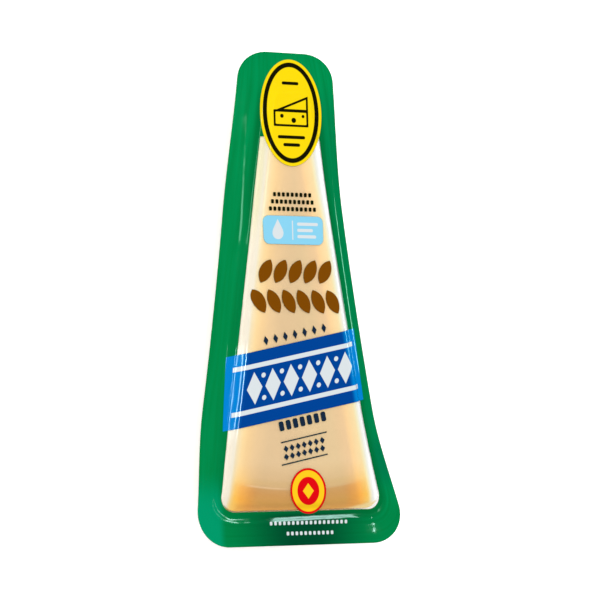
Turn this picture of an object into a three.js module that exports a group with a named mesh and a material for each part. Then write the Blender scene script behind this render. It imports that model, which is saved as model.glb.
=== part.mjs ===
// A portion of hard cheese, vacuum sealed in a formed film pack, lying on its back.
//
// The pack is one closed body. Its outline is a wedge with rounded corners: narrow at the tip (+Y), wide at
// the rind end (-Y). A thin welded rim runs all round. Inside it the front film climbs over a shoulder to the
// flat face of the cheese, and the back film drops down a steep pocket wall to the flat back, which lies on
// Z = 0. The vacuum pulls the rim down along the sides, while the ends stay up, level with the front.
//
// Millimetres, +Z up. The origin is the middle of the outline's length and width, on the back's plane.

import * as THREE from 'three';

// ---- Driving dimensions ------------------------------------------------------------------------------------

const LENGTH = 205.4;
const THICKNESS = 23;
const RIM_THICKNESS = 0.8;

// Each line of the pack that runs round it is a wedge of its own, seen from the front:
// tip and rind are its ends in Y, half its half-width at Y = 0, taper the half-width lost per mm towards
// the tip, bow how far the sides curve out again towards both ends, and the last two the corner radii.
const OUTLINE = {
  tip: LENGTH / 2, rind: -LENGTH / 2, half: 33.5, taper: 0.141, bow: 0.00028, tipRadius: 13.2, rindRadius: 13.8,
};
const WELD = {
  tip: 92.4, rind: -90.6, half: 27.6, taper: 0.139, bow: 0.00026, tipRadius: 9, rindRadius: 9.5,
};
const SHOULDER = {
  tip: 89, rind: -87.6, half: 23.9, taper: 0.154, bow: 0.00015, tipRadius: 6, rindRadius: 7,
};
const FACE = {
  tip: 85.4, rind: -85, half: 20.5, taper: 0.159, bow: 0.0001, tipRadius: 4.5, rindRadius: 5,
};
const POCKET_TOP = {
  tip: 90.4, rind: -89.2, half: 25.4, taper: 0.148, bow: 0.0002, tipRadius: 7.5, rindRadius: 8,
};
const BACK = {
  tip: 87.4, rind: -86.8, half: 22.6, taper: 0.157, bow: 0.00012, tipRadius: 5.5, rindRadius: 6,
};

// Heights over the back's plane. The middle value holds along the sides, and the lifts add to it at the ends.
const RIM_HEIGHT = { middle: 12.7, tipLift: 5.3, rindLift: 8.9 };
const WELD_HEIGHT = { middle: 17, tipLift: 2.8, rindLift: 4.5 };
const SHOULDER_HEIGHT = { middle: 18.9, tipLift: 1.8, rindLift: 2.8 };
const POCKET_DROP = 3.4;       // from the weld down to where the pocket wall turns steep

const FLAT_INSET = 4;          // from the edge of a face in to where it is surely flat

// Where along Y each lift begins. It is full at that end of the outline.
const TIP_LIFT_FROM = 36;
const RIND_LIFT_FROM = -46;

// How far from its corner each bend of the section begins, along both legs.
const WELD_BEND = 0.9;
const SHOULDER_BEND = 0.9;
const FACE_BEND = 1.9;
const POCKET_BEND = 1.1;
const BACK_BEND = 2.6;

// Facets
const TIP_END_STEPS = 4;
const TIP_CORNER_STEPS = 7;
const SIDE_STEPS = 26;
const RIND_CORNER_STEPS = 9;
const RIND_END_STEPS = 8;
const SLIGHT_BEND_STEPS = 2;
const FULL_BEND_STEPS = 4;

// ---- Lines round the pack ----------------------------------------------------------------------------------

// The +X half of a wedge line, from the middle of its tip end to the middle of its rind end: straight end,
// corner arc, side, corner arc, straight end. The arcs touch the end lines and the slanted sides, and the bow
// then stretches everything sideways by bow * y^2 at the side.
function halfLine({ tip, rind, half, taper, bow, tipRadius, rindRadius }) {
  const lean = Math.atan(taper);
  const slant = Math.hypot(1, taper);
  const centre = (y, radius) => new THREE.Vector2(half - taper * y - radius * slant, y);
  const tipCentre = centre(tip - tipRadius, tipRadius);
  const rindCentre = centre(rind + rindRadius, rindRadius);
  const onArc = (middle, radius, angle) =>
    new THREE.Vector2(radius * Math.cos(angle), radius * Math.sin(angle)).add(middle);

  const points = [];
  const sweep = (steps, place) => {
    for (let i = 0; i < steps; i++) points.push(place(i / steps));
  };
  const { lerp } = THREE.MathUtils;
  const sideTop = onArc(tipCentre, tipRadius, lean);
  const sideFoot = onArc(rindCentre, rindRadius, lean);
  sweep(TIP_END_STEPS, (t) => new THREE.Vector2(tipCentre.x * t, tip));
  sweep(TIP_CORNER_STEPS, (t) => onArc(tipCentre, tipRadius, lerp(Math.PI / 2, lean, t)));
  sweep(SIDE_STEPS, (t) => sideTop.clone().lerp(sideFoot, t));
  sweep(RIND_CORNER_STEPS, (t) => onArc(rindCentre, rindRadius, lerp(lean, -Math.PI / 2, t)));
  sweep(RIND_END_STEPS, (t) => new THREE.Vector2(rindCentre.x * (1 - t), rind));
  points.push(new THREE.Vector2(0, rind));

  for (const p of points) p.x *= 1 + (bow * p.y * p.y) / (half - taper * p.y);
  return points;
}

// The height of a line at y: its middle value, with a smooth rise towards each end.
function heightAt(y, { middle, tipLift, rindLift }) {
  const towardsTip = THREE.MathUtils.smoothstep(y, TIP_LIFT_FROM, OUTLINE.tip);
  const towardsRind = THREE.MathUtils.smoothstep(-y, -RIND_LIFT_FROM, -OUTLINE.rind);
  return middle + tipLift * towardsTip + rindLift * towardsRind;
}

const raised = (line, heights, drop = 0) =>
  halfLine(line).map(({ x, y }) => new THREE.Vector3(x, y, heightAt(y, heights) - drop));

// The same line moved inwards, where a face is flat.
const inset = (line) => ({
  ...line, tip: line.tip - FLAT_INSET, rind: line.rind + FLAT_INSET, half: line.half - FLAT_INSET,
  tipRadius: line.tipRadius - FLAT_INSET / 2, rindRadius: line.rindRadius - FLAT_INSET / 2,
});

const level = (line, z) => halfLine(line).map(({ x, y }) => new THREE.Vector3(x, y, z));

// ---- The section -------------------------------------------------------------------------------------------

// The section through one point of the outline, from the front face out to the rim and back to the back
// face. Each corner with a bend becomes a quadratic curve between two points on its legs.
function bendCorners(corners) {
  const path = [];
  corners.forEach(({ at, bend, steps }, i) => {
    if (!bend) {
      path.push(at);
      return;
    }
    const towards = (next) => {
      const leg = next.clone().sub(at);
      return at.clone().addScaledVector(leg, Math.min(bend / leg.length(), 0.48));
    };
    const curve = new THREE.QuadraticBezierCurve3(towards(corners[i - 1].at), at, towards(corners[i + 1].at));
    path.push(...curve.getPoints(steps));
  });
  return path;
}

function sections() {
  const overhang = RIM_THICKNESS / 2;
  const face = level(FACE, THICKNESS);
  const back = level(BACK, 0);
  const weld = raised(WELD, WELD_HEIGHT, -overhang);
  const weldBehind = raised(WELD, WELD_HEIGHT, overhang);
  const shoulder = raised(SHOULDER, SHOULDER_HEIGHT);
  const rimFront = raised(OUTLINE, RIM_HEIGHT, -overhang);
  const rimBehind = raised(OUTLINE, RIM_HEIGHT, overhang);
  const pocketTop = raised(POCKET_TOP, WELD_HEIGHT, POCKET_DROP);
  const faceFlat = level(inset(FACE), THICKNESS);
  const backFlat = level(inset(BACK), 0);

  return face.map((_, i) => bendCorners([
    { at: faceFlat[i] },
    { at: face[i], bend: FACE_BEND, steps: FULL_BEND_STEPS },
    { at: shoulder[i], bend: SHOULDER_BEND, steps: SLIGHT_BEND_STEPS },
    { at: weld[i], bend: WELD_BEND, steps: SLIGHT_BEND_STEPS },
    { at: rimFront[i] },
    { at: rimBehind[i] },
    { at: weldBehind[i], bend: WELD_BEND, steps: SLIGHT_BEND_STEPS },
    { at: pocketTop[i], bend: POCKET_BEND, steps: SLIGHT_BEND_STEPS },
    { at: back[i], bend: BACK_BEND, steps: FULL_BEND_STEPS },
    { at: backFlat[i] },
  ]));
}

// ---- The body ----------------------------------------------------------------------------------------------

// Sweeps the sections round the pack, mirrors them to -X, and closes each flat face with a fan of triangles.
function packGeometry() {
  const half = sections();
  const mirrored = half.slice(1, -1).reverse()
    .map((path) => path.map(({ x, y, z }) => new THREE.Vector3(-x, y, z)));
  const round = [...half, ...mirrored];
  const rounds = round.length;
  const along = half[0].length;
  const index = (i, k) => (i % rounds) * along + k;
  const points = [...round.flat(), new THREE.Vector3(0, 0, THICKNESS), new THREE.Vector3()];
  const faceCentre = points.length - 2;
  const backCentre = points.length - 1;

  const triangles = [];
  for (let i = 0; i < rounds; i++) {
    triangles.push(faceCentre, index(i + 1, 0), index(i, 0));
    for (let k = 0; k < along - 1; k++) {
      triangles.push(index(i, k), index(i + 1, k), index(i + 1, k + 1));
      triangles.push(index(i, k), index(i + 1, k + 1), index(i, k + 1));
    }
    triangles.push(backCentre, index(i, along - 1), index(i + 1, along - 1));
  }

  const geometry = new THREE.BufferGeometry().setFromPoints(points);
  geometry.setIndex(triangles);
  geometry.computeVertexNormals();
  return geometry;
}

const film = new THREE.MeshStandardMaterial({ color: 0x0a8a4c, roughness: 0.18, metalness: 0 });

const pack = new THREE.Mesh(packGeometry(), film);
pack.name = 'sealed_cheese_pack';

const part = new THREE.Group();
part.add(pack);

export default part;
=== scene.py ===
import math

import bmesh
import bpy
import numpy as np
from mathutils import Matrix, Vector


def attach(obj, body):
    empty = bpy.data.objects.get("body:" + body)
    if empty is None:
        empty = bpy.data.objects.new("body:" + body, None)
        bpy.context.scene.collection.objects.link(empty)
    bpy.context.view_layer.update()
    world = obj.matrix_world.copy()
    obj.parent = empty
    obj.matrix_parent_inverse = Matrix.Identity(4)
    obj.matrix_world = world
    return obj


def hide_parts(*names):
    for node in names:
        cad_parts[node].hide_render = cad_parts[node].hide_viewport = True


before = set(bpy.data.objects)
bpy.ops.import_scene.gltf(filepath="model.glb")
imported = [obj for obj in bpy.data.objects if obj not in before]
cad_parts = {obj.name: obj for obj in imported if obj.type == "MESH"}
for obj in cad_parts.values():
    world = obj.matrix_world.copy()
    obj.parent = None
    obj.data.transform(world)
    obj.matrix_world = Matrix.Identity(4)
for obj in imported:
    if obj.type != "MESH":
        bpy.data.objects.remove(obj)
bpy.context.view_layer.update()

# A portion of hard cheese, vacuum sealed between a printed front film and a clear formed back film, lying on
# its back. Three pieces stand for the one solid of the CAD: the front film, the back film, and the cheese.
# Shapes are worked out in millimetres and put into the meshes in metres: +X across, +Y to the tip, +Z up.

MM = 0.001

# ---- Sizes of the pack, as in the part's source (mm) -------------------------------------------------------

# Each line round the pack: its ends in Y, half-width at Y = 0, half-width lost per mm towards the tip, how
# far the sides curve out again towards both ends, and the corner radii.
OUTLINE = dict(tip=102.7, rind=-102.7, half=33.5, taper=0.141, bow=0.00028, tip_radius=13.2, rind_radius=13.8)
WELD = dict(tip=92.4, rind=-90.6, half=27.6, taper=0.139, bow=0.00026, tip_radius=9, rind_radius=9.5)
SHOULDER = dict(tip=89, rind=-87.6, half=23.9, taper=0.154, bow=0.00015, tip_radius=6, rind_radius=7)
FACE = dict(tip=85.4, rind=-85, half=20.5, taper=0.159, bow=0.0001, tip_radius=4.5, rind_radius=5)
POCKET_TOP = dict(tip=90.4, rind=-89.2, half=25.4, taper=0.148, bow=0.0002, tip_radius=7.5, rind_radius=8)
BACK = dict(tip=87.4, rind=-86.8, half=22.6, taper=0.157, bow=0.00012, tip_radius=5.5, rind_radius=6)

# Heights over the back: along the sides, then the lift at the tip and at the rind end.
THICKNESS = 23
RIM_HEIGHT = (12.7, 5.3, 8.9)
WELD_HEIGHT = (17, 2.8, 4.5)
SHOULDER_HEIGHT = (18.9, 1.8, 2.8)
POCKET_DROP = 3.4
TIP_LIFT_FROM, RIND_LIFT_FROM = 36, -46

# ---- Sizes of the films and the cheese (mm) ----------------------------------------------------------------

RIM_HALF = 0.25                # half the thickness of the welded rim
FILM = 0.12                    # thickness of one film
CHEESE_GAP = 0.34              # from the outside of the film down to the cheese
SPINE = 0.72                   # how far along the middle line a flat closes, as a share of its edge

# How soft the film bends over the cheese's edge at the tip and lower down, and at the weld along the -X side
# and elsewhere: mm from the corner to where the bend begins.
FACE_BEND_TIP, FACE_BEND_BELOW = 0.7, 2.3
WELD_BEND_LEFT, WELD_BEND = 1.5, 1.0

# The weld's inner line stands up as a bead: its height along the sides and at the rind end, and its reach to
# both sides. At the rind end it lies further out, by a share of the way to the rim: at X = 0, and per mm.
BEAD_SIDE, BEAD_RIND, BEAD_REACH = 0.03, 0.28, 1.6
BEAD_OUT, BEAD_OUT_PER_MM = 0.19, -0.0022
RIND_END_FROM, RIND_END_OVER = -78, 8

# The smooth curves bulge past the solid's facets, so the whole is this much smaller.
WITHIN = 0.9985
MERGE = 2e-6                   # metres under which two points of a mesh are one

# Steps round half of the pack
STEPS = dict(tip_end=10, tip_corner=16, side=100, rind_corner=20, rind_end=34)

# ---- Shapes ------------------------------------------------------------------------------------------------


def half_line(line):
    """The +X half of a line round the pack, from the middle of its tip end to the middle of its rind end:
    straight end, corner arc, slanted side, corner arc, straight end. x is then stretched by the bow."""
    lean, slant = math.atan(line["taper"]), math.hypot(1, line["taper"])
    tip_y, rind_y = line["tip"] - line["tip_radius"], line["rind"] + line["rind_radius"]
    tip_x = line["half"] - line["taper"] * tip_y - line["tip_radius"] * slant
    rind_x = line["half"] - line["taper"] * rind_y - line["rind_radius"] * slant

    def run(steps):
        return np.arange(steps) / steps

    def arc(x, y, radius, angle):
        return np.stack([x + radius * np.cos(angle), y + radius * np.sin(angle)], 1)

    t = run(STEPS["tip_end"])
    parts = [np.stack([tip_x * t, line["tip"] + 0 * t], 1)]
    t = run(STEPS["tip_corner"])
    parts.append(arc(tip_x, tip_y, line["tip_radius"], np.pi / 2 + (lean - np.pi / 2) * t))
    t = run(STEPS["side"])[:, None]
    top = arc(tip_x, tip_y, line["tip_radius"], np.array([lean]))
    foot = arc(rind_x, rind_y, line["rind_radius"], np.array([lean]))
    parts.append(top + (foot - top) * t)
    t = run(STEPS["rind_corner"])
    parts.append(arc(rind_x, rind_y, line["rind_radius"], lean + (-np.pi / 2 - lean) * t))
    t = np.linspace(0, 1, STEPS["rind_end"] + 1)
    parts.append(np.stack([rind_x * (1 - t), line["rind"] + 0 * t], 1))
    x, y = np.concatenate(parts).T
    return np.stack([x * (1 + line["bow"] * y * y / (line["half"] - line["taper"] * y)), y], 1)


def smoothstep(t):
    """0 below 0, 1 above 1, and 3t^2 - 2t^3 between."""
    t = np.clip(t, 0, 1)
    return t * t * (3 - 2 * t)


def height_at(y, heights):
    """The middle height plus a smooth lift towards the tip and one towards the rind end."""
    middle, tip_lift, rind_lift = heights
    return (middle + tip_lift * smoothstep((y - TIP_LIFT_FROM) / (OUTLINE["tip"] - TIP_LIFT_FROM))
            + rind_lift * smoothstep((RIND_LIFT_FROM - y) / (RIND_LIFT_FROM - OUTLINE["rind"])))


def ring(line, height):
    """The whole line round the pack, tip to rind end by +X and back by -X. height is a number, or the three
    heights that height_at takes with what is added to them."""
    half = half_line(line)
    points = np.concatenate([half, half[-2:0:-1] * (-1, 1)])
    z = np.full(len(points), float(height)) if np.isscalar(height) else (
        height_at(points[:, 1], height[0]) + height[1])
    return np.column_stack([points, z])


def rind_end(y):
    """0 along the sides, 1 at the rind end, and smooth between."""
    return smoothstep((RIND_END_FROM - y) / RIND_END_OVER)


def spine_of(edge):
    """Where the flat inside of a ring closes: each point moves to the middle line, and in along it."""
    return edge * (0, SPINE, 1)


def face_bend(edge):
    """How soft the film bends over the cheese's edge at each point of a ring: tight at the tip, which is
    narrow, and softer lower down."""
    below = smoothstep((68 - edge[:, 1]) / 26)
    return (FACE_BEND_TIP + (FACE_BEND_BELOW - FACE_BEND_TIP) * below)[:, None]


def weld_bend(edge):
    """How soft the film turns at the weld at each point of a ring: softer along the -X side."""
    left = smoothstep((-4 - edge[:, 0]) / 6) * smoothstep((edge[:, 1] + 82) / 10)
    return (WELD_BEND + (WELD_BEND_LEFT - WELD_BEND) * left)[:, None]


def sweep_between(corners):
    """The section at every point of the ring: from each corner to the next in equal steps, with a bend at a
    corner that has one. A corner is (ring, bend in mm, steps in the bend, steps in the leg after it). The
    bend is the quadratic curve p(t) = (1-t)^2 a + 2t(1-t) corner + t^2 b, with a and b on the legs."""
    rings = [corner[0] for corner in corners]
    path, start = [], rings[0]
    for i, (at, bend, turn, _) in enumerate(corners[1:], 1):
        a = b = at
        if turn:
            a, b = (at + leg * np.minimum(bend / np.linalg.norm(leg, axis=1, keepdims=True), 0.48)
                    for leg in (rings[i - 1] - at, rings[i + 1] - at))
        steps = corners[i - 1][3]
        path += [start + (a - start) * t for t in np.arange(steps) / steps]
        path += [(1 - t) ** 2 * a + 2 * t * (1 - t) * at + t * t * b for t in np.arange(turn) / max(turn, 1)]
        start = b
    path.append(start)
    return np.stack(path, 1)


def surface_normals(grid):
    """Unit normals of a ring-by-section grid, outwards: the cross product of the steps round and along it."""
    around = np.roll(grid, -1, 0) - np.roll(grid, 1, 0)
    along = np.gradient(grid, axis=1)
    normal = np.cross(around, along)
    return normal / np.maximum(np.linalg.norm(normal, axis=2, keepdims=True), 1e-9)


def waves(a, b, seed, shortest, longest, count=9):
    """A smooth uneven field on two coordinates in mm, mostly from -1 to 1: a sum of sines with seeded
    directions, phases and wavelengths in mm, over 1.6 times the root of their count."""
    rng = np.random.default_rng(seed)
    total = np.zeros_like(a)
    for _ in range(count):
        turn, phase = rng.uniform(0, 2 * np.pi, 2)
        length = rng.uniform(shortest, longest)
        total += np.sin(2 * np.pi * (a * np.cos(turn) + b * np.sin(turn)) / length + phase)
    return total / math.sqrt(count) / 1.6


def mesh_from_grid(name, grid):
    """A mesh from a ring-by-section grid, closed round the ring, in metres. Points that meet on the middle
    line are merged."""
    rounds, along, _ = grid.shape
    i, k = np.meshgrid(np.arange(rounds), np.arange(along - 1), indexing="ij")
    j = (i + 1) % rounds
    quads = np.stack([i * along + k, j * along + k, j * along + k + 1, i * along + k + 1], -1).reshape(-1, 4)
    points = grid.reshape(-1, 3) * WITHIN + (0, 0, THICKNESS * (1 - WITHIN) / 2)
    mesh = bpy.data.meshes.new(name)
    mesh.from_pydata((points * MM).tolist(), [], quads.tolist())
    shape = bmesh.new()
    shape.from_mesh(mesh)
    bmesh.ops.remove_doubles(shape, verts=shape.verts, dist=MERGE)
    shape.to_mesh(mesh)
    shape.free()
    mesh.polygons.foreach_set("use_smooth", np.ones(len(mesh.polygons), bool))
    mesh.update()
    piece = bpy.data.objects.new(name, mesh)
    bpy.context.scene.collection.objects.link(piece)
    return piece


# ---- Pieces ------------------------------------------------------------------------------------------------


def front_film():
    """The printed film: flat over the cheese, down over its edge to the shoulder, on over the weld, and out
    to the middle of the rim's edge. Slow waves pull it out of true where it isn't on the cheese, and the
    weld's bead stands up by its height times exp(-(distance / reach)^2)."""
    face = ring(FACE, THICKNESS)
    weld = ring(WELD, (WELD_HEIGHT, RIM_HALF))
    rim = ring(OUTLINE, (RIM_HEIGHT, RIM_HALF))
    grid = sweep_between([
        (spine_of(face), 0, 0, 16),
        (face, face_bend(face), 14, 3),
        (ring(SHOULDER, (SHOULDER_HEIGHT, 0)), 0.6, 6, 5),
        (weld, weld_bend(weld), 16, 28),
        (rim, 0.16, 3, 1),
        (ring(OUTLINE, (RIM_HEIGHT, 0)), 0, 0, 0),
    ])
    across, along = grid[..., 0], grid[..., 1]
    off_face = smoothstep((THICKNESS - grid[..., 2]) / 3)
    off_edge = np.clip(np.linalg.norm(grid - rim[:, None], axis=2) / 2, 0, 1)
    ripple = 0.08 * waves(across, along, 3, 14, 40) + 0.02 * waves(across, along, 8, 4, 9)
    out = BEAD_OUT + BEAD_OUT_PER_MM * np.clip(weld[:, :1], -15, 25)
    crest = weld + (rim - weld) * out * rind_end(weld[:, 1:2])
    off_crest = np.linalg.norm(grid - crest[:, None], axis=2)
    at_rind = rind_end(along)
    bead = BEAD_SIDE + (BEAD_RIND - BEAD_SIDE) * at_rind + 0.03 * at_rind * waves(across, along, 13, 3.5, 8)
    bead = bead * np.exp(-(off_crest / BEAD_REACH) ** 2)
    grid = grid + surface_normals(grid) * (ripple * off_face * off_edge + bead)[..., None]
    return mesh_from_grid("printed_front_film", grid)


def back_film():
    """The clear film behind: from the middle of the rim's edge in under the rim to the weld, down the
    pocket's steep wall, and flat across the back. The wall has slow waves."""
    back = ring(BACK, 0)
    grid = sweep_between([
        (ring(OUTLINE, (RIM_HEIGHT, 0)), 0, 0, 1),
        (ring(OUTLINE, (RIM_HEIGHT, -RIM_HALF)), 0.16, 3, 12),
        (ring(WELD, (WELD_HEIGHT, -RIM_HALF)), 0.9, 5, 4),
        (ring(POCKET_TOP, (WELD_HEIGHT, -POCKET_DROP)), 1.1, 6, 14),
        (back, 2.6, 8, 14),
        (spine_of(back), 0, 0, 0),
    ])
    across, along, up = grid[..., 0], grid[..., 1], grid[..., 2]
    wall = smoothstep((up - 1) / 4) * smoothstep((14 - up) / 3)
    ripple = 0.07 * waves(along, up * 2 + across, 5, 5, 16)
    grid = grid + surface_normals(grid) * (ripple * wall)[..., None]
    return mesh_from_grid("clear_back_film", grid)


def cheese():
    """The wedge. Its front lies close under the film: flat, over the film's bend, down the slope and a little
    on under the weld's inner side. Then come straight cut sides, the rind end, and a flat back. Its faces
    undulate a little."""
    face = ring(FACE, THICKNESS)
    shoulder = ring(SHOULDER, (SHOULDER_HEIGHT, 0))
    brow = shoulder + (ring(WELD, (WELD_HEIGHT, 0)) - shoulder) * 0.27
    foot = ring(dict(BACK, half=BACK["half"] - 0.4, tip=86.8, rind=-86.2, tip_radius=4.8, rind_radius=5.2), 0)
    grid = sweep_between([
        (spine_of(face), 0, 0, 26),
        (face, face_bend(face), 14, 3),
        (shoulder, 0.9, 6, 2),
        (brow, 0.5, 5, 14),
        (foot, 0.9, 5, 20),
        (spine_of(foot), 0, 0, 0),
    ])
    across, along, up = grid[..., 0], grid[..., 1], grid[..., 2]
    relief = (0.05 * waves(across, along + up, 21, 6, 22, count=10)
              + 0.02 * waves(across + up, along, 22, 2, 5, count=10))
    grid = grid - surface_normals(grid) * (CHEESE_GAP + relief)[..., None]
    return mesh_from_grid("cheese_wedge", grid)


# ---- Materials ---------------------------------------------------------------------------------------------


def colour(code):
    """An sRGB hex colour as linear RGBA."""
    rgb = [int(code[i:i + 2], 16) / 255 for i in (1, 3, 5)]
    return [c / 12.92 if c <= 0.04045 else ((c + 0.055) / 1.055) ** 2.4 for c in rgb] + [1.0]


MATH, VECTOR = "ShaderNodeMath", "ShaderNodeVectorMath"


def add(tree, kind, inputs=(), out=0, stops=(), **settings):
    """Adds a node with its settings, fills its inputs with values or links, and returns one output or none.
    The inputs come in order, or by name or number. stops are the places and colours of a ramp."""
    node = tree.nodes.new(kind)
    for name, value in settings.items():
        setattr(node, name, value)
    for slot, value in (inputs if isinstance(inputs, dict) else dict(enumerate(inputs))).items():
        if isinstance(value, bpy.types.NodeSocket):
            tree.links.new(value, node.inputs[slot])
        else:
            node.inputs[slot].default_value = value
    if stops:
        marks = node.color_ramp.elements
        marks.remove(marks[1])
        marks[0].position, marks[0].color = stops[0][0], colour(stops[0][1])
        for place, tone in stops[1:]:
            marks.new(place).color = colour(tone)
    return None if out is None else node.outputs[out]


def new_material(name):
    made = bpy.data.materials.new(name)
    made.use_nodes = True
    made.node_tree.nodes.clear()
    return made


class Plan:
    """The pack seen in plan, in mm, and shapes on it as masks that are 1 inside and 0 outside."""

    SOFT = 0.14                # mm over which the edge of a shape fades

    def __init__(self, tree):
        self.tree = tree
        place = add(tree, "ShaderNodeTexCoord", out=3)
        self.spot = add(tree, VECTOR, [place, (1 / MM, 1 / MM, 0)], operation="MULTIPLY")
        self.x = add(tree, "ShaderNodeSeparateXYZ", [self.spot])
        self.y = self.x.node.outputs[1]
        up = add(tree, "ShaderNodeSeparateXYZ", [place], 2)
        self.z = add(tree, MATH, [up, 1 / MM], operation="MULTIPLY")

    def at(self, x, y, tilt=0, on=None):
        """The spot, or another one, measured from (x, y) and turned by tilt degrees."""
        return add(self.tree, "ShaderNodeMapping",
                   [on or self.spot, (x, y, 0), (0, 0, math.radians(tilt))], vector_type="TEXTURE")

    def row(self, spot, pitch):
        """The same spot again every pitch mm along X."""
        far = 1000
        return add(self.tree, VECTOR, [spot, (pitch / 2, far, far), (-pitch / 2, -far, -far)],
                   operation="WRAP")

    def marks(self, spot, count, pitch):
        """The same for count marks, of which the middle one or the middle gap lies on the spot."""
        return self.row(spot if count % 2 else self.at(pitch / 2, 0, 0, spot), pitch)

    def apart(self, value, middle=0):
        """How far a value is from middle."""
        off = add(self.tree, MATH, [value, middle], operation="SUBTRACT")
        return add(self.tree, MATH, [off], operation="ABSOLUTE")

    def within(self, distance, reach, scale=1.0):
        """1 where distance is under reach, 0 past it. scale is how many mm one unit of distance is."""
        steep = scale / self.SOFT
        return add(self.tree, MATH, [distance, -steep, 0.5 + reach * steep], operation="MULTIPLY_ADD",
                   use_clamp=True)

    def fade(self, distance, start, end, most=1.0):
        """0 at start and most at end, smooth between."""
        return add(self.tree, "ShaderNodeMapRange", [distance, start, end, 0, most],
                   interpolation_type="SMOOTHSTEP")

    def right(self, most=1.0):
        """0 on the -X side and most on the +X side, smooth between."""
        return self.fade(self.x, -6, 6, most)

    def panel(self, spot, width, height, corner=0.25):
        """A rounded panel: the distance from the box of its corner centres, less than the corner radius."""
        past = add(self.tree, VECTOR, [spot], operation="ABSOLUTE")
        past = add(self.tree, VECTOR, [past, (width / 2 - corner, height / 2 - corner, 0)],
                   operation="SUBTRACT")
        past = add(self.tree, VECTOR, [past, (0, 0, 0)], operation="MAXIMUM")
        return self.within(add(self.tree, VECTOR, [past], 1, operation="LENGTH"), corner)

    def oval(self, spot, width, height):
        """An oval: the length of the spot over its half-axes, less than 1."""
        unit = add(self.tree, VECTOR, [spot, (width / 2, height / 2, 1)], operation="DIVIDE")
        return self.within(add(self.tree, VECTOR, [unit], 1, operation="LENGTH"), 1,
                           min(width, height) / 2)

    def lozenge(self, spot, width, height):
        """A lozenge: the sum of |x| and |y| over its half-axes, less than 1."""
        part = add(self.tree, VECTOR, [spot], operation="ABSOLUTE")
        total = add(self.tree, VECTOR, [part, (2 / width, 2 / height, 0)], 1, operation="DOT_PRODUCT")
        return self.within(total, 1, 0.5 / math.hypot(1 / width, 1 / height))

    def leaf(self, spot, width, height):
        """A leaf with two pointed ends: where two circles that stand apart along X overlap. Their radius plus
        their offset is height^2 / (2 width), and their radius less their offset is width / 2."""
        plus, less = height * height / width / 2, width / 2
        part = add(self.tree, VECTOR, [spot], operation="ABSOLUTE")
        part = add(self.tree, VECTOR, [part, ((plus - less) / 2, 0, 0)], operation="ADD")
        return self.within(add(self.tree, VECTOR, [part], 1, operation="LENGTH"), (plus + less) / 2)

    def side(self, spot, nx, ny, reach):
        """The half of the plan where nx x + ny y is under reach."""
        return self.within(add(self.tree, VECTOR, [spot, (nx, ny, 0)], 1, operation="DOT_PRODUCT"), reach)

    def both(self, *masks):
        """Where all the masks are."""
        total = masks[0]
        for mask in masks[1:]:
            total = add(self.tree, MATH, [total, mask], operation="MULTIPLY")
        return total

    def outside(self, mask):
        return add(self.tree, MATH, [1, mask], operation="SUBTRACT")

    def inside_sides(self, line, shift=0):
        """How many mm a spot lies inside the two sides of a line: half - taper y + bow y^2 - |x - shift|."""
        square = add(self.tree, MATH, [self.y, self.y], operation="MULTIPLY")
        half = add(self.tree, MATH, [square, line["bow"], line["half"]], operation="MULTIPLY_ADD")
        half = add(self.tree, MATH, [self.y, -line["taper"], half], operation="MULTIPLY_ADD")
        return add(self.tree, MATH, [half, self.apart(self.x, shift)], operation="SUBTRACT")

    def inside_line(self, line, shift=0):
        """How many mm a spot lies inside the sides and the rind end of a line, with its round corners there:
        the corner radius less the length of (radius - inside the sides, radius - inside the end), where
        negative parts count as 0."""
        corner = line["rind_radius"]
        end = add(self.tree, MATH, [self.y, line["rind"]], operation="SUBTRACT")
        short = add(self.tree, "ShaderNodeCombineXYZ", [self.inside_sides(line, shift), end])
        short = add(self.tree, VECTOR, [(corner, corner, 0), short], operation="SUBTRACT")
        short = add(self.tree, VECTOR, [short, (0, 0, 0)], operation="MAXIMUM")
        short = add(self.tree, VECTOR, [short], 1, operation="LENGTH")
        return add(self.tree, MATH, [corner, short], operation="SUBTRACT")

    def even(self):
        """The spot with x less LEAN mm for each mm that the film lies under the face. A round print that runs
        down over an edge by this spot looks evenly round from the pack's left."""
        drop = add(self.tree, MATH, [self.z, LEAN, -LEAN * THICKNESS], operation="MULTIPLY_ADD")
        return add(self.tree, "ShaderNodeCombineXYZ",
                   [add(self.tree, MATH, [self.x, drop], operation="ADD"), self.y])

    def off_the_cheese(self):
        """How many mm a spot lies inside the line where the film comes back down: on the +X side the film
        leaves the cheese further in."""
        return add(self.tree, MATH, [self.inside_sides(SHOULDER), self.right(RIGHT_LIFT)],
                   operation="SUBTRACT")


class Print(Plan):
    """What the press lays on the film, one ink over the other. colour is what shows, and cover is 1 where
    there is ink."""

    def __init__(self, tree, field, cover):
        super().__init__(tree)
        self.colour = field
        self.cover = cover

    def lay(self, mask, ink, covers=True):
        """Lays an ink through a mask."""
        self.colour = add(self.tree, "ShaderNodeMix", {0: mask, 6: self.colour, 7: colour(ink)}, 2,
                          data_type="RGBA")
        if covers:
            self.cover = add(self.tree, MATH, [self.cover, mask], operation="MAXIMUM")


# The flank greens, the shaded ink and the foot shadow ink are painted shade on the green field, the corner
# sheen ink a painted highlight
LIGHT_GREEN, DARK_GREEN = "#00864B", "#00763B"
LEFT_FLANK_SHADE, RIGHT_FLANK_SHADE = "#006B33", "#006B43"
SHADED_INK, FOOT_SHADOW_INK, CORNER_SHEEN_INK = "#00632F", "#004327", "#008C60"
YELLOW, BLACK, WHITE = "#E6C90A", "#111204", "#CAD1D4"
SKY, BROWN, NAVY = "#7FC3DE", "#744103", "#15253A"
BLUE, BAND_LIT_BLUE, RED, GOLD = "#003D8A", "#0077C2", "#D00610", "#EDBD1A"

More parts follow.
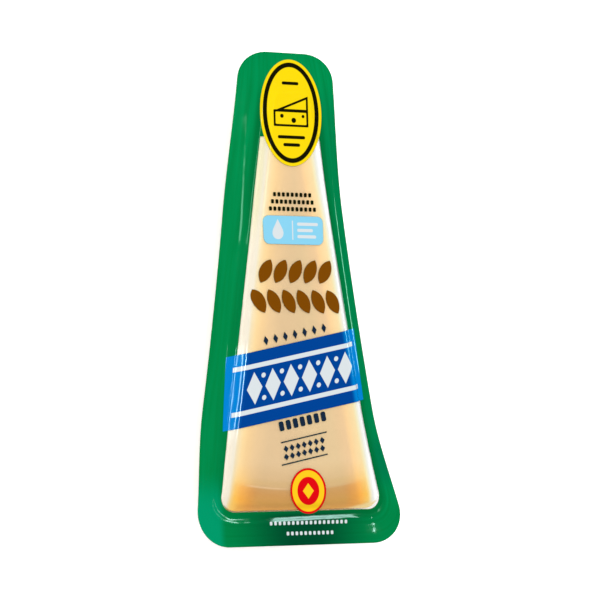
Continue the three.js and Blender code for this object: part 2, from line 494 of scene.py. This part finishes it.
LEAN = math.tan(math.radians(30))   # x per mm of drop that keeps a round print even from the pack's left
RIGHT_LIFT = 1.7               # how many mm further in the film leaves the cheese on the +X side
WINDOW = dict(SHOULDER, rind=-88.4)
WINDOW_SHIFT = 0.25            # how far the window is printed off the middle
WINDOW_TOP, WINDOW_TOP_SLANT = 67.45, 0.061
OVAL_X, OVAL_Y = -0.9, 77      # middle of the yellow oval
SMALL_PITCH = 2.1              # from mark to mark in the rows of small marks
BAND_SLANT = 0.1956            # rise of the blue band per mm across
BAND_TILT = math.degrees(math.atan(BAND_SLANT))
BAND_Y = -33.7                 # middle of the band at X = 0


def print_on_film(tree):
    """The print: a green field round a clear window, and on the window a yellow oval, a sky blue panel, two
    rows of brown leaves, a slanted blue band with white lozenges, small marks in rows, and a round seal."""
    p = Print(tree, colour(DARK_GREEN), 1)
    inside = p.inside_line(WINDOW, WINDOW_SHIFT)
    window = p.both(p.outside(p.within(inside, 0)), p.side(p.spot, -WINDOW_TOP_SLANT, 1, WINDOW_TOP))
    p.cover = p.outside(window)

    # The green is cloudy, with faint streaks along the sides
    cloud = add(tree, "ShaderNodeTexNoise", {0: p.spot, 2: 1 / 38, 3: 2.0})
    lengthwise = add(tree, "ShaderNodeCombineXYZ",
                     [inside, add(tree, MATH, [p.y, 0.035], operation="MULTIPLY")])
    streak = add(tree, "ShaderNodeTexNoise", {0: lengthwise, 2: 1 / 1.7, 3: 2.0})
    uneven = add(tree, MATH, [cloud, 0.5, p.fade(streak, 0.3, 0.7, 0.7)], operation="MULTIPLY_ADD")
    p.lay(uneven, LIGHT_GREEN, covers=False)
    # Painted shade: down to the foot both flanks are darker, the right one most of all by the rind
    above_foot = p.fade(p.y, -90, -76)
    p.lay(p.both(above_foot, p.fade(p.x, -4, -12), p.fade(p.y, 62, 40, 0.33)), LEFT_FLANK_SHADE, covers=False)
    by_rind = p.fade(p.apart(p.y, -68), 13, 3)
    right_shade = add(tree, MATH, [by_rind, 0.45, p.fade(p.y, 92, 76, 0.42)], operation="MULTIPLY_ADD")
    p.lay(p.both(above_foot, p.fade(p.x, 4, 12), right_shade), RIGHT_FLANK_SHADE, covers=False)
    # Painted shade: the green is darker next to the window, most of all on the right and near the tip, and
    # darker at the foot, with a painted shadow in the middle and a painted highlight pale in the left corner
    window_shade = add(tree, MATH, [p.right(), p.fade(p.y, 20, 45)], operation="MAXIMUM")
    window_shade = add(tree, MATH, [window_shade, 0.4, 0.35], operation="MULTIPLY_ADD")
    p.lay(p.both(p.fade(inside, -4.6, -0.8), window_shade, p.fade(p.y, 90, 80)), SHADED_INK, covers=False)
    p.lay(p.fade(p.y, -80, -92, 0.3), SHADED_INK, covers=False)
    p.lay(p.both(p.fade(p.y, -87, -91), p.fade(p.apart(p.x, 1), 40, 4)), FOOT_SHADOW_INK, covers=False)
    p.lay(p.both(p.fade(p.y, -70, -88), p.fade(p.x, -35.5, -39.5)), CORNER_SHEEN_INK, covers=False)

    # Yellow oval with a black line, a wedge with three holes, and three bars
    even = p.even()
    oval = p.at(OVAL_X, OVAL_Y, 0, even)
    p.lay(p.oval(oval, 29.4, 45.4), YELLOW)
    p.lay(p.both(p.oval(oval, 26.8, 42.8), p.outside(p.oval(oval, 22.8, 38.8))), BLACK)
    length, height = 16.6, 7
    corner = p.at(OVAL_X - length / 2, OVAL_Y + 0.2, 0, even)
    front = p.at(OVAL_X, OVAL_Y - 2.7, 0, even)
    for inset, ink in ((0, BLACK), (0.95, YELLOW)):
        p.lay(p.both(p.side(corner, -0.37, 0.929, -inset), p.side(corner, 0, -1, -inset),
                     p.side(corner, 1, 0, length - inset)), ink)
        p.lay(p.panel(front, length - 2 * inset, height - 2 * inset, 0.4), ink)
    for x, y, size in ((-5.2, 75.2, 1.7), (0.4, 73.5, 2.2), (4.9, 75.3, 1.4)):
        p.lay(p.oval(p.at(x, y, 0, even), size, size), BLACK)
    for y, width in ((89.4, 8), (66.4, 13), (63.2, 8)):
        p.lay(p.panel(p.at(OVAL_X, y, 0, even), width, 1.4, 0.65), BLACK)

    # Rows of small black marks
    for y, count in ((42.4, 9), (39.4, 10), (36.4, 11)):
        spot = p.at(-1.3, y)
        cell = p.marks(spot, count, SMALL_PITCH)
        p.lay(p.both(p.panel(spot, count * SMALL_PITCH, 3), p.panel(cell, 1.3, 1.7, 0.4)), BLACK)

    # Sky blue panel with a white drop, a line and three white bars
    y = 27.6
    p.lay(p.panel(p.at(-1.2, y), 28.4, 11.8, 2.6), SKY)
    p.lay(p.panel(p.at(-1.6, y), 0.5, 8, 0.2), WHITE)
    p.lay(p.oval(p.at(-8.6, y - 1.3), 5.2, 5.2), WHITE)
    drop = p.at(-8.6, y - 0.1)
    p.lay(p.both(p.lozenge(drop, 4.9, 9.2), p.side(drop, 0, -1, 0)), WHITE)
    for up, width in ((2.6, 10), (0, 7.5), (-2.6, 9)):
        p.lay(p.panel(p.at(0.6 + width / 2, y + up), width, 1.3, 0.6), WHITE)

    # Two rows of brown leaves that lean opposite ways
    for y, count, pitch, lean in ((10.4, 5, 7.06, -28), (-2.0, 6, 7.0, 28)):
        spot = p.at(-0.8, y)
        leaf = p.leaf(p.at(0, 0, lean, p.marks(spot, count, pitch)), 5.6, 10.9)
        p.lay(p.both(p.panel(spot, count * pitch - 0.1, 14), leaf), BROWN)

    # Thin navy lozenges over the band
    spot = p.at(-1.8, -15.6, BAND_TILT)
    p.lay(p.both(p.panel(spot, 32.5, 6), p.lozenge(p.row(spot, 4.7), 2.2, 3.8)), NAVY)

    # The band: its ends lean as the pack's sides do, and painted light makes it lighter where the film is off
    # the cheese
    rise = add(tree, VECTOR, [p.spot, (-BAND_SLANT, 1, 0)], 1, operation="DOT_PRODUCT")
    above = add(tree, MATH, [rise, BAND_Y], operation="SUBTRACT")
    across = add(tree, MATH, [p.x, 0.15], operation="SUBTRACT")
    ends = add(tree, MATH, [p.y, 0.1, p.apart(across)], operation="MULTIPLY_ADD")
    widening = add(tree, MATH, [p.x, -0.006, p.apart(above)], operation="MULTIPLY_ADD")
    band = p.both(p.within(widening, 15.1), p.within(ends, 29.05))
    p.lay(band, BLUE)
    p.lay(p.both(band, p.fade(p.off_the_cheese(), 4.4, 1.4)), BAND_LIT_BLUE)
    for line in (-9.1, 9.1):
        p.lay(p.both(p.within(p.apart(above, line), 0.95), p.within(ends, 26.3)), WHITE)
    # White lozenges on it, with a dot over and a dot under each gap
    middle = add(tree, "ShaderNodeCombineXYZ", [across, above])
    pitch, count = 8.7, 6
    lozenge = p.lozenge(p.marks(middle, count, pitch), 7.3, 13.3)
    p.lay(p.both(p.panel(middle, count * pitch - 0.1, 30), lozenge), WHITE)
    dots = add(tree, VECTOR, [p.row(middle, pitch)], operation="ABSOLUTE")
    p.lay(p.both(p.panel(middle, (count - 1) * pitch, 30), p.oval(p.at(0, 4.6, 0, dots), 2, 2)), WHITE)

    # Navy marks under the band, and two rows of lozenges between thin lines
    spot = p.at(0.6, -51.6, BAND_TILT)
    p.lay(p.both(p.panel(spot, 23.4, 6), p.panel(p.row(spot, 3.4), 2.2, 3.9, 0.7)), NAVY)
    for y in (-58.2, -67.4):
        p.lay(p.panel(p.at(1.1 - 0.02 * (y + 60), y, BAND_TILT), 22.4, 0.45, 0.2), NAVY)
    for y in (-61.2, -64.5):
        spot = p.at(1.1 - 0.02 * (y + 60), y, BAND_TILT)
        p.lay(p.both(p.panel(spot, 20.6, 4), p.lozenge(p.row(spot, 2.94), 2.3, 2.7)), NAVY)

    # Round seal
    seal = p.at(2.4, -80.3, 0, even)
    for width, height, ink in ((17, 18.8, RED), (15.2, 17, GOLD), (10.4, 11.6, RED)):
        p.lay(p.oval(seal, width, height), ink)
    p.lay(p.lozenge(seal, 5.2, 6.4), GOLD)

    # White marks at the foot
    for x, y, count in ((3, -93.3, 18), (3.5, -97.6, 11)):
        spot = p.at(x, y)
        cell = p.marks(spot, count, SMALL_PITCH)
        p.lay(p.both(p.panel(spot, count * SMALL_PITCH, 3), p.panel(cell, 1.2, 1.5, 0.4)), WHITE)
    return p


def mirroring(tree, behind, roughness, grazing=0.96):
    """A film's own shine over what is behind it. It mirrors 4% straight on, and more by grazing at a grazing
    angle, from either side: 0.04 + grazing (1 - cos)^5."""
    facing = add(tree, "ShaderNodeLayerWeight", [0.5], 1)
    rate = add(tree, MATH, [facing, 5.0], operation="POWER")
    rate = add(tree, MATH, [rate, grazing, 0.04], operation="MULTIPLY_ADD")
    shine = add(tree, "ShaderNodeBsdfGlossy", [(1, 1, 1, 1), roughness])
    return add(tree, "ShaderNodeMixShader", [rate, behind, shine])


INK_ROUGHNESS, WINDOW_ROUGHNESS, BACK_ROUGHNESS = 0.07, 0.2, 0.12
WINDOW_GRAZING = 0.1           # less than bare film's, because white surroundings would show in it
BACK_HAZE = 0.10               # how milky drawing has made the back film


def printed_film():
    """Multilayer packaging film, printed by gravure: even, opaque inks under a glossy skin. Where no ink lies
    the film is clear, and mirrors lights by its own shine."""
    made = new_material("printed_film")
    tree = made.node_tree
    p = print_on_film(tree)
    ink = add(tree, "ShaderNodeBsdfPrincipled", {
        "Base Color": p.colour, "Roughness": INK_ROUGHNESS, "IOR": 1.5})
    clear = add(tree, "ShaderNodeBsdfTransparent", [(1, 1, 1, 1)])
    window = mirroring(tree, clear, WINDOW_ROUGHNESS, WINDOW_GRAZING)
    film = add(tree, "ShaderNodeMixShader", [p.cover, window, ink])
    add(tree, "ShaderNodeOutputMaterial", [film], None)
    return made


def clear_film():
    """Thermoformed packaging film, left clear: it shows what is behind it and mirrors lights, with a faint
    milky haze from being drawn."""
    made = new_material("clear_film")
    tree = made.node_tree
    clear = add(tree, "ShaderNodeBsdfTransparent", [(1, 1, 1, 1)])
    haze = add(tree, "ShaderNodeBsdfDiffuse", [colour("#E9EBE6")])
    drawn = add(tree, "ShaderNodeMixShader", [BACK_HAZE, clear, haze])
    add(tree, "ShaderNodeOutputMaterial", [mirroring(tree, drawn, BACK_ROUGHNESS)], None)
    return made


# The rind's tones lie along curves y - bow (x - middle)^2, as the wheel is round: where they start, and their
# span in mm.
RIND_FROM, RIND_SPAN = -69, 22
RIND_BOW, RIND_MIDDLE = 0.0035, -2.3
# What multiplies the cheese's colour towards the rind, by mm along the pack: in the middle, and at the sides.
# The last tones lighten again: painted light against the shade where the front turns down at the rind end.
RIND_TONES = (
    (-69, "#FFFFFF"), (-75.8, "#F6F1E8"), (-77.3, "#F2EBD8"), (-79.4, "#F0E5D3"), (-80.3, "#E8CFA9"),
    (-82.3, "#E8C896"), (-85.8, "#EACB8C"), (-88.4, "#FDD696"), (-89.4, "#FFDCA0"))
RIND_SIDE_TONES = (
    (-70.6, "#FFFFFF"), (-75.9, "#FFF8E6"), (-78.3, "#FFF3D2"), (-80.8, "#FEE6AC"), (-85.8, "#FDDD84"),
    (-90, "#FFEBA8"))
RIND_PATCH = "#FFF3E6"         # and once more, where the rind end is most orange
RIND_LINE, PALE_LIT_CORNER = "#F0CFA6", "#EED79C"
CUT_SIDE = "#E3C596"
# Tones of the front by mm inside the pack's sides, and the span of those mm. Pale ones are painted light.
EDGE_SPAN = 24
LEFT_TONES = (
    (0, "#FFF8E4"), (1.6, "#EAE0CC"), (3, "#E6DECB"), (3.8, "#E8D7B1"), (4.8, "#F1D9A9"), (6.2, "#F4D59C"),
    (8.5, "#EECB94"), (12, "#E6C595"), (18, "#DCBE93"))
RIGHT_TONES = (
    (0, "#FFFFFF"), (1.8, "#FDFDFA"), (3, "#EBECE9"), (4, "#E4E2D5"), (5.3, "#ECE3BA"), (6.2, "#F0D9A5"),
    (10, "#F3CE97"), (12, "#E7C496"), (18, "#DDC194"))
TIP_WIDER = 1.2                # how many mm wider the painted pale edge on the right is near the tip
TIP_STRAW = "#FAFCE8"          # what multiplies the painted pale edge on the left near the tip
GRAIN, DRIFT = 1.1, 19         # mm across the cheese's fine grain, and across its slow change of tone


def hard_cheese():
    """Long-aged hard cheese, cut and pressed flat by the film: dense, finely grained, straw coloured, and
    amber towards the rind. Where the film leaves it at the edges it is painted pale: painted light for light
    getting in."""
    made = new_material("hard_cheese")
    tree = made.node_tree
    p = Plan(tree)
    on_front = p.fade(p.z, 15.5, 17.5)
    wider = p.both(p.right(), p.fade(p.y, 25, 50, TIP_WIDER))
    side = add(tree, MATH, [p.inside_sides(SHOULDER), wider], operation="SUBTRACT")
    place = add(tree, MATH, [side, 1 / EDGE_SPAN], operation="MULTIPLY")
    left, right = (add(tree, "ShaderNodeValToRGB", [place],
                       stops=[(mm / EDGE_SPAN, tone) for mm, tone in tones])
                   for tones in (LEFT_TONES, RIGHT_TONES))
    front = add(tree, "ShaderNodeMix", {0: p.right(), 6: left, 7: right}, 2, data_type="RGBA")
    straw = p.both(p.fade(side, 3.4, 1.8), p.fade(p.x, -4, -8), p.fade(p.y, 15, 42))
    front = add(tree, "ShaderNodeMix", {0: straw, 6: front, 7: colour(TIP_STRAW)}, 2, data_type="RGBA",
                blend_type="MULTIPLY")
    paste = add(tree, "ShaderNodeMix", {0: on_front, 6: colour(CUT_SIDE), 7: front}, 2, data_type="RGBA")

    # Towards the rind each colour is multiplied: by less in the middle, by a deeper orange at the sides
    off = add(tree, MATH, [p.x, RIND_MIDDLE], operation="SUBTRACT")
    curve = add(tree, MATH, [add(tree, MATH, [off, off], operation="MULTIPLY"), -RIND_BOW, p.y],
                operation="MULTIPLY_ADD")
    place = add(tree, MATH, [curve, -1 / RIND_SPAN, RIND_FROM / RIND_SPAN], operation="MULTIPLY_ADD")
    amber, orange = (add(tree, "ShaderNodeValToRGB", [place],
                         stops=[((RIND_FROM - y) / RIND_SPAN, tone) for y, tone in tones])
                     for tones in (RIND_TONES, RIND_SIDE_TONES))
    lifted = p.off_the_cheese()
    rind = add(tree, "ShaderNodeMix", {0: p.fade(lifted, 16, 7), 6: amber, 7: orange}, 2, data_type="RGBA")
    patch = p.both(p.fade(lifted, 5.5, 8.5), p.fade(lifted, 17, 12), p.fade(curve, -77.5, -81.5))
    rind = add(tree, "ShaderNodeMix", {0: patch, 6: rind, 7: colour(RIND_PATCH)}, 2, data_type="RGBA",
               blend_type="MULTIPLY")
    depth = add(tree, "ShaderNodeMix", {0: p.fade(lifted, 2.2, 5.6), 6: (1, 1, 1, 1), 7: rind}, 2,
                data_type="RGBA")
    depth = add(tree, "ShaderNodeMix", {0: on_front, 6: amber, 7: depth}, 2, data_type="RGBA")
    base = add(tree, "ShaderNodeMix", {0: 1.0, 6: paste, 7: depth}, 2, data_type="RGBA",
               blend_type="MULTIPLY")

    # A thin pale line where the rind begins on the left, and a pale edge round the right foot corner, which
    # is painted light
    line = p.both(p.fade(p.apart(curve, -79.5), 0.5, 0.1), p.fade(p.x, -4, -12),
                  p.fade(p.x, -28, -24, 0.3), p.fade(p.z, 20, 22))
    base = add(tree, "ShaderNodeMix", {0: line, 6: base, 7: colour(RIND_LINE)}, 2, data_type="RGBA")
    low = add(tree, VECTOR, [p.spot, (-0.21, 1, 0)], 1, operation="DOT_PRODUCT")
    corner = p.fade(low, -91.7, -93.1, 0.85)
    base = add(tree, "ShaderNodeMix", {0: corner, 6: base, 7: colour(PALE_LIT_CORNER)}, 2, data_type="RGBA")

    # Fine grain with shallow dents, and a slow change of tone
    spot = add(tree, "ShaderNodeTexCoord", out=3)
    grain = add(tree, "ShaderNodeTexNoise", {0: spot, 2: 1 / (GRAIN * MM), 3: 3.0, 4: 0.6})
    drift = add(tree, "ShaderNodeTexNoise", {0: spot, 2: 1 / (DRIFT * MM), 3: 2.0})
    mottle = add(tree, MATH, [grain, 0.10, 0.90], operation="MULTIPLY_ADD")
    mottle = add(tree, MATH, [drift, 0.10, mottle], operation="MULTIPLY_ADD")
    tone = add(tree, "ShaderNodeMix", {0: 1.0, 6: base, 7: mottle}, 2, data_type="RGBA",
               blend_type="MULTIPLY")
    dents = add(tree, "ShaderNodeBump", {"Strength": 0.35, "Distance": 0.12 * MM, "Height": grain})
    matt = add(tree, "ShaderNodeBsdfPrincipled", {
        "Base Color": tone, "Roughness": 0.55, "IOR": 1.45, "Specular IOR Level": 0.3, "Normal": dents})
    add(tree, "ShaderNodeOutputMaterial", [matt], None)
    return made


def dress(piece, material, film=0.0):
    """Gives a piece its material, and a film its thickness, laid inwards."""
    piece.data.materials.append(material)
    if film:
        skin = piece.modifiers.new("film", "SOLIDIFY")
        skin.thickness, skin.offset, skin.use_rim = film * MM, -1, True
    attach(piece, "root")
    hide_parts("sealed_cheese_pack")


dress(front_film(), printed_film(), FILM)
dress(back_film(), clear_film(), FILM)
dress(cheese(), hard_cheese())

# ---- Floor, lights and camera ------------------------------------------------------------------------------

scene = bpy.context.scene
scene.view_settings.view_transform = "Standard"


def floor():
    """A plain white table that glows a little, as one for product shots does. The gloss doesn't show it."""
    mesh = bpy.data.meshes.new("floor")
    reach = 6
    corners = [(-reach, -reach, 0), (reach, -reach, 0), (reach, reach, 0), (-reach, reach, 0)]
    mesh.from_pydata(corners, [], [(0, 1, 2, 3)])
    ground = bpy.data.objects.new("floor", mesh)
    scene.collection.objects.link(ground)
    made = new_material("white_floor")
    matt = add(made.node_tree, "ShaderNodeBsdfPrincipled", {
        "Base Color": (0.9, 0.9, 0.9, 1), "Roughness": 0.9, "Specular IOR Level": 0.0,
        "Emission Color": (1, 1, 1, 1), "Emission Strength": 0.4})
    add(made.node_tree, "ShaderNodeOutputMaterial", [matt], None)
    mesh.materials.append(made)
    ground.visible_glossy = False


def light(name, across, along, distance, width, length, radiance, over=(0, 0), glossy=True, diffuse=True,
          beam=180, tint=(1, 1, 1)):
    """A soft light that stands distance metres from a spot on the pack, given by over in mm: across degrees
    to its side from straight above, and along degrees towards its tip. A grid on it narrows its beam to that
    many degrees. Its power gives it the radiance straight on, which a grid raises by tan h / (tan h - h), h
    being half the beam."""
    side, tip = math.radians(across), math.radians(along)
    spot = Vector((over[0] * MM, over[1] * MM, THICKNESS * MM))
    away = Vector((math.sin(side) * math.cos(tip), math.sin(tip), math.cos(side) * math.cos(tip)))
    lamp = bpy.data.lights.new(name, "AREA")
    lamp.shape, lamp.size, lamp.size_y, lamp.color = "RECTANGLE", width, length, tint
    lamp.spread = math.radians(beam)
    half = lamp.spread / 2
    lamp.energy = radiance * math.pi * width * length
    if beam < 180:
        lamp.energy *= 1 - half / math.tan(half)
    holder = bpy.data.objects.new(name, lamp)
    tall = (Vector((0, 1, 0)) - away * away.y).normalized()
    wide = tall.cross(away)
    holder.matrix_world = Matrix((wide, tall, away)).transposed().to_4x4()
    holder.location = spot + away * distance
    holder.visible_camera, holder.visible_glossy, holder.visible_diffuse = False, glossy, diffuse
    scene.collection.objects.link(holder)


# Tints of the highlights on the printed film.
GREENISH, MINT, BLUISH = (0.45, 1, 0.8), (0.62, 1, 0.94), (0.6, 0.9, 1)


def gleam(name, across, along, distance, width, length, radiance, over, beam, tint):
    """A narrow light that shows only in the gloss."""
    light(name, across, along, distance, width, length, radiance, over, diffuse=False, beam=beam, tint=tint)


def studio():
    """Even white light from all round and a broad light from the upper left, with a fill at the right, none
    of which shows in the gloss, and narrow lights that make the highlights."""
    world = bpy.data.worlds.new("studio")
    world.use_nodes = True
    background = world.node_tree.nodes["Background"].inputs
    background["Color"].default_value, background["Strength"].default_value = (1, 1, 1, 1), 0.9
    world.cycles_visibility.glossy = False
    scene.world = world
    light("broad", -24, 18, 1.6, 1.2, 1.2, 2.9, glossy=False)
    light("right_fill", 85, 8, 0.7, 0.08, 0.9, 8, glossy=False)
    gleam("weld_light", -21, 12, 0.3, 0.055, 0.048, 8, (-22, 46), 16, GREENISH)
    gleam("edge_light", -70, 15.5, 0.15, 0.02, 0.03, 28, (-26, -38), 9, BLUISH)
    gleam("band_light", -38, 13, 0.08, 0.006, 0.035, 75, (-25.5, -40), 10, BLUISH)
    gleam("right_light", 90, 8, 0.3, 0.05, 0.078, 20, (26, 4), 6, GREENISH)
    gleam("foot_light", 30, 17, 0.1, 0.035, 0.02, 19, (9.5, -91.3), 14, MINT)
    gleam("corner_light", 33, 16, 0.1, 0.0025, 0.01, 28, (-34.3, -90.6), 14, MINT)
    gleam("spark_light", 31, 2, 0.05, 0.001, 0.0015, 40, (35.2, -94), 20, MINT)


def camera():
    """The photograph's view: 30 degrees round to the pack's left and 4.2 down to its rind end, rolled 1.6."""
    round_by, down_by, roll = (math.radians(v) for v in (30, 4.2, 1.61))
    distance, focal_px, frame_px, sensor_mm = 1.245, 3013, 600, 36
    right_px, up_px = 0.27, 3.73       # how far the aim lies from the middle of the frame
    aim = Vector((0, 0, 0.025))
    back = Vector((-math.sin(round_by) * math.cos(down_by), -math.sin(down_by),
                   math.cos(round_by) * math.cos(down_by)))
    right = Vector((math.cos(round_by), 0, math.sin(round_by)))
    up = back.cross(right)
    right, up = right * math.cos(roll) - up * math.sin(roll), up * math.cos(roll) + right * math.sin(roll)
    place = aim + back * distance - (right * right_px + up * up_px) * (distance / focal_px)
    eye = bpy.data.cameras.new("camera")
    eye.sensor_width, eye.lens = sensor_mm, sensor_mm * focal_px / frame_px
    eye.clip_start, eye.clip_end = 0.05, 30
    holder = bpy.data.objects.new("camera", eye)
    holder.matrix_world = Matrix((right, up, back)).transposed().to_4x4()
    holder.location = place
    scene.collection.objects.link(holder)
    scene.camera = holder


floor()
studio()
camera()
